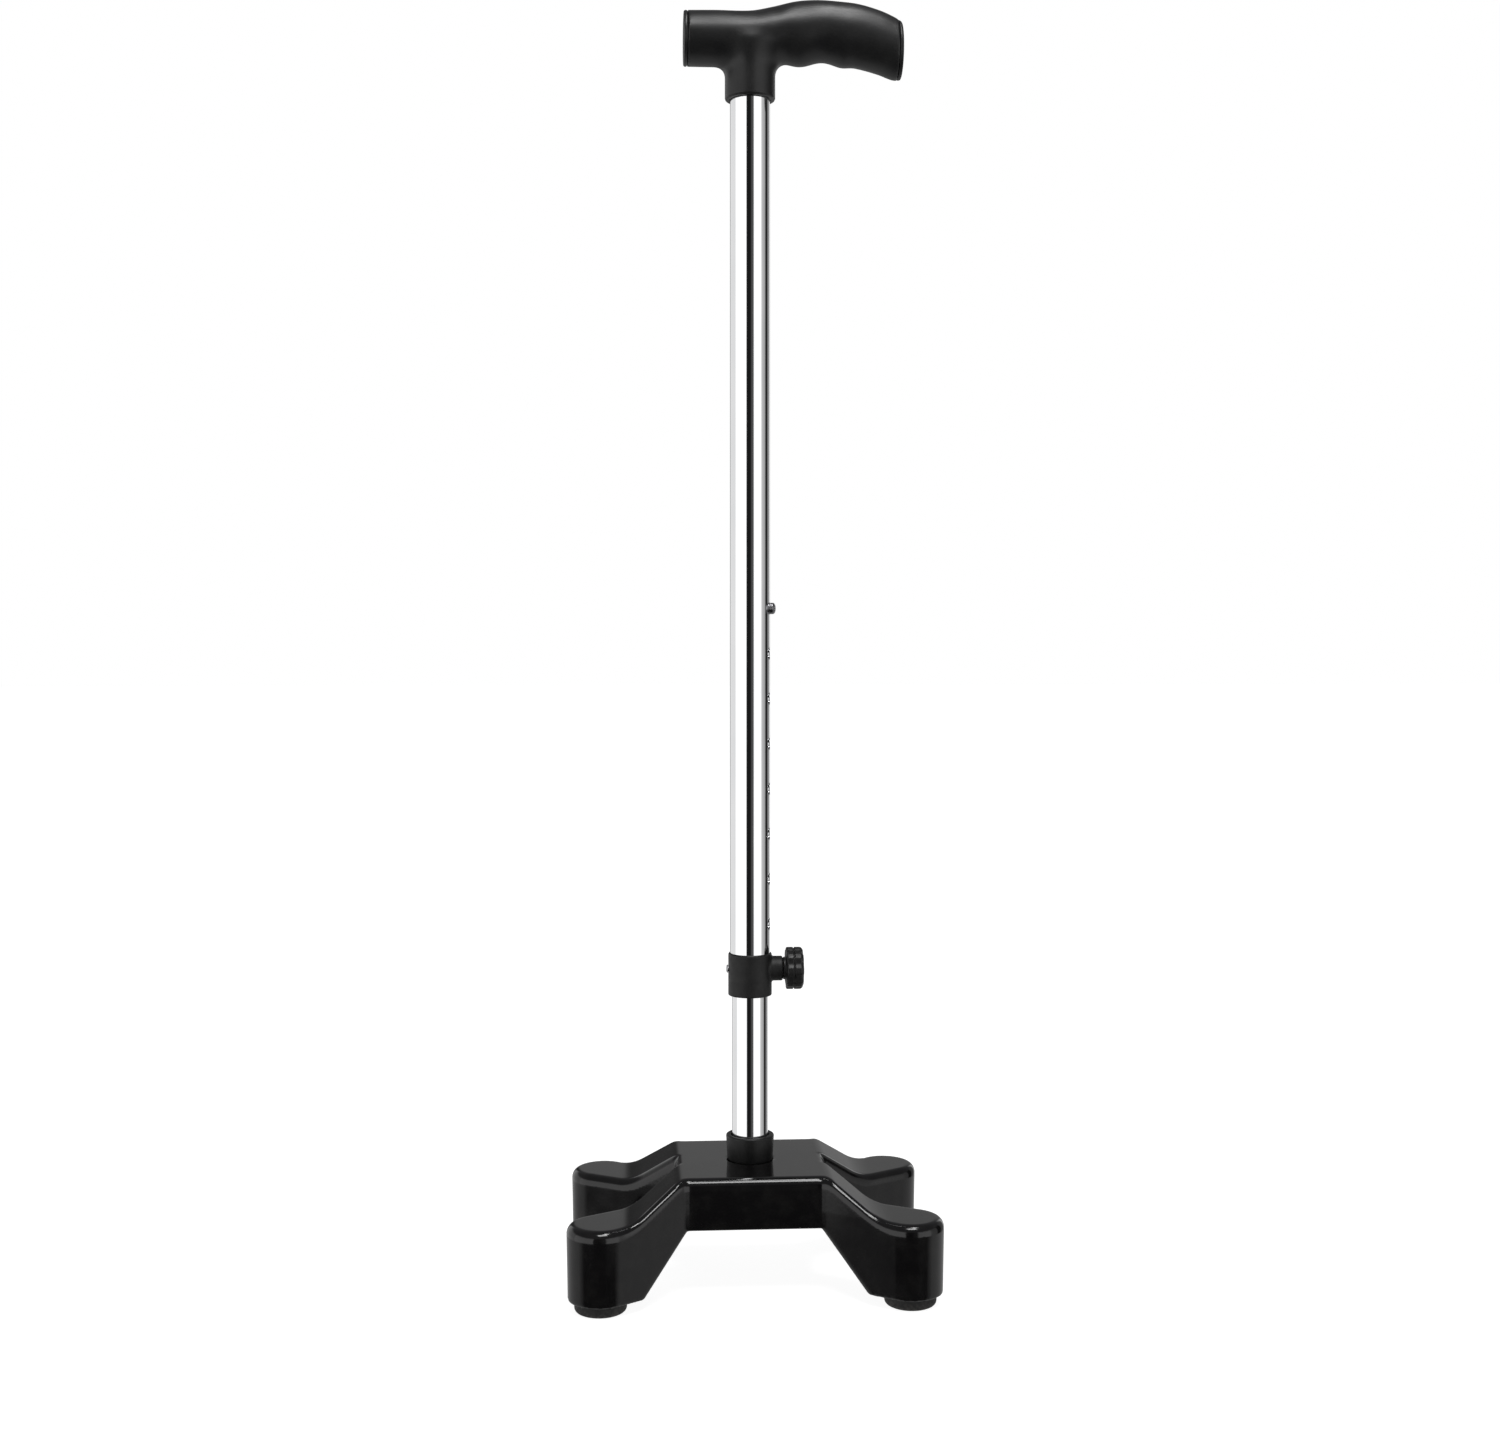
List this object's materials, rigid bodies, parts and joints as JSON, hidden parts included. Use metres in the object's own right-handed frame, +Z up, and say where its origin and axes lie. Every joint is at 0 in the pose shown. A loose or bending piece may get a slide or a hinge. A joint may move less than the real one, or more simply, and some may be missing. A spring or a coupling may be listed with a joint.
{
  "type": "quad walking cane",
  "caption": "Four-legged walking cane with telescoping chromed tubes, a spring button, a clamp collar with a thumb knob, a moulded handle and rubber feet.",
  "frame": {"origin": "on the floor, midway between the four rubber feet, on the axis of both tubes", "axes": "+Z up along the tubes, +X towards the handle's nose and the clamp knob, -Y the front in the reference view"},
  "size_m": [0.2, 0.138, 0.708],
  "materials": {
    "base_plastic": "glossy black moulded plastic",
    "handle_plastic": "satin black moulded plastic",
    "collar_plastic": "matte black moulded plastic",
    "knob_plastic": "satin black moulded plastic",
    "rubber": "matte black rubber",
    "chrome": "polished chrome",
    "steel": "zinc-plated",
    "button_steel": "polished",
    "brass": "turned",
    "nylon": "natural nylon"
  },
  "bodies": {
    "base": {"base_shell": "base_plastic", "hub_collar": "collar_plastic", "lower_tube": "chrome", "tube_plug": "steel", "base_bolt": "steel", "bolt_washer": "steel", "lock_washer": "steel", "foot_front_left": "rubber", "foot_front_right": "rubber", "foot_rear_left": "rubber", "foot_rear_right": "rubber", "disc_front_left": "steel", "disc_front_right": "steel", "disc_rear_left": "steel", "disc_rear_right": "steel", "guide_bush": "nylon", "button_spring": "steel"},
    "snap_button": {"snap_button": "button_steel"},
    "upper": {"upper_tube": "chrome", "lock_collar": "collar_plastic", "collar_rivet": "steel", "clamp_insert": "brass", "handle_grip": "handle_plastic", "handle_rear_cap": "handle_plastic", "handle_nose_cap": "handle_plastic", "handle_screw": "steel"},
    "clamp_pad": {"clamp_pad": "nylon"},
    "clamp_screw": {"clamp_stud": "steel", "clamp_knob": "knob_plastic"}
  },
  "joints": [
    {"name": "height_slide", "type": "slide", "parent": "base", "child": "upper", "axis": [0, 0, 1], "range_m": [0, 0.15]},
    {"name": "button_press", "type": "slide", "parent": "base", "child": "snap_button", "axis": [0.9469, -0.3214, 0], "range_m": [-0.0044, 0], "stiffness_N_per_m": 1500, "springref_m": 0.003, "deforming": ["button_spring"]},
    {"name": "pad_slide", "type": "slide", "parent": "upper", "child": "clamp_pad", "axis": [1, 0, 0], "range_m": [0, 0.00301]},
    {"name": "knob_turn", "type": "hinge", "parent": "clamp_pad", "child": "clamp_screw", "pos_m": [0.02, 0, 0.1697], "axis": [1, 0, 0], "range_deg": [0, 1080]}
  ],
  "couplings": [
    {"joint": "pad_slide", "follows": "knob_turn", "m_per_rad": 0.00015915}
  ]
}
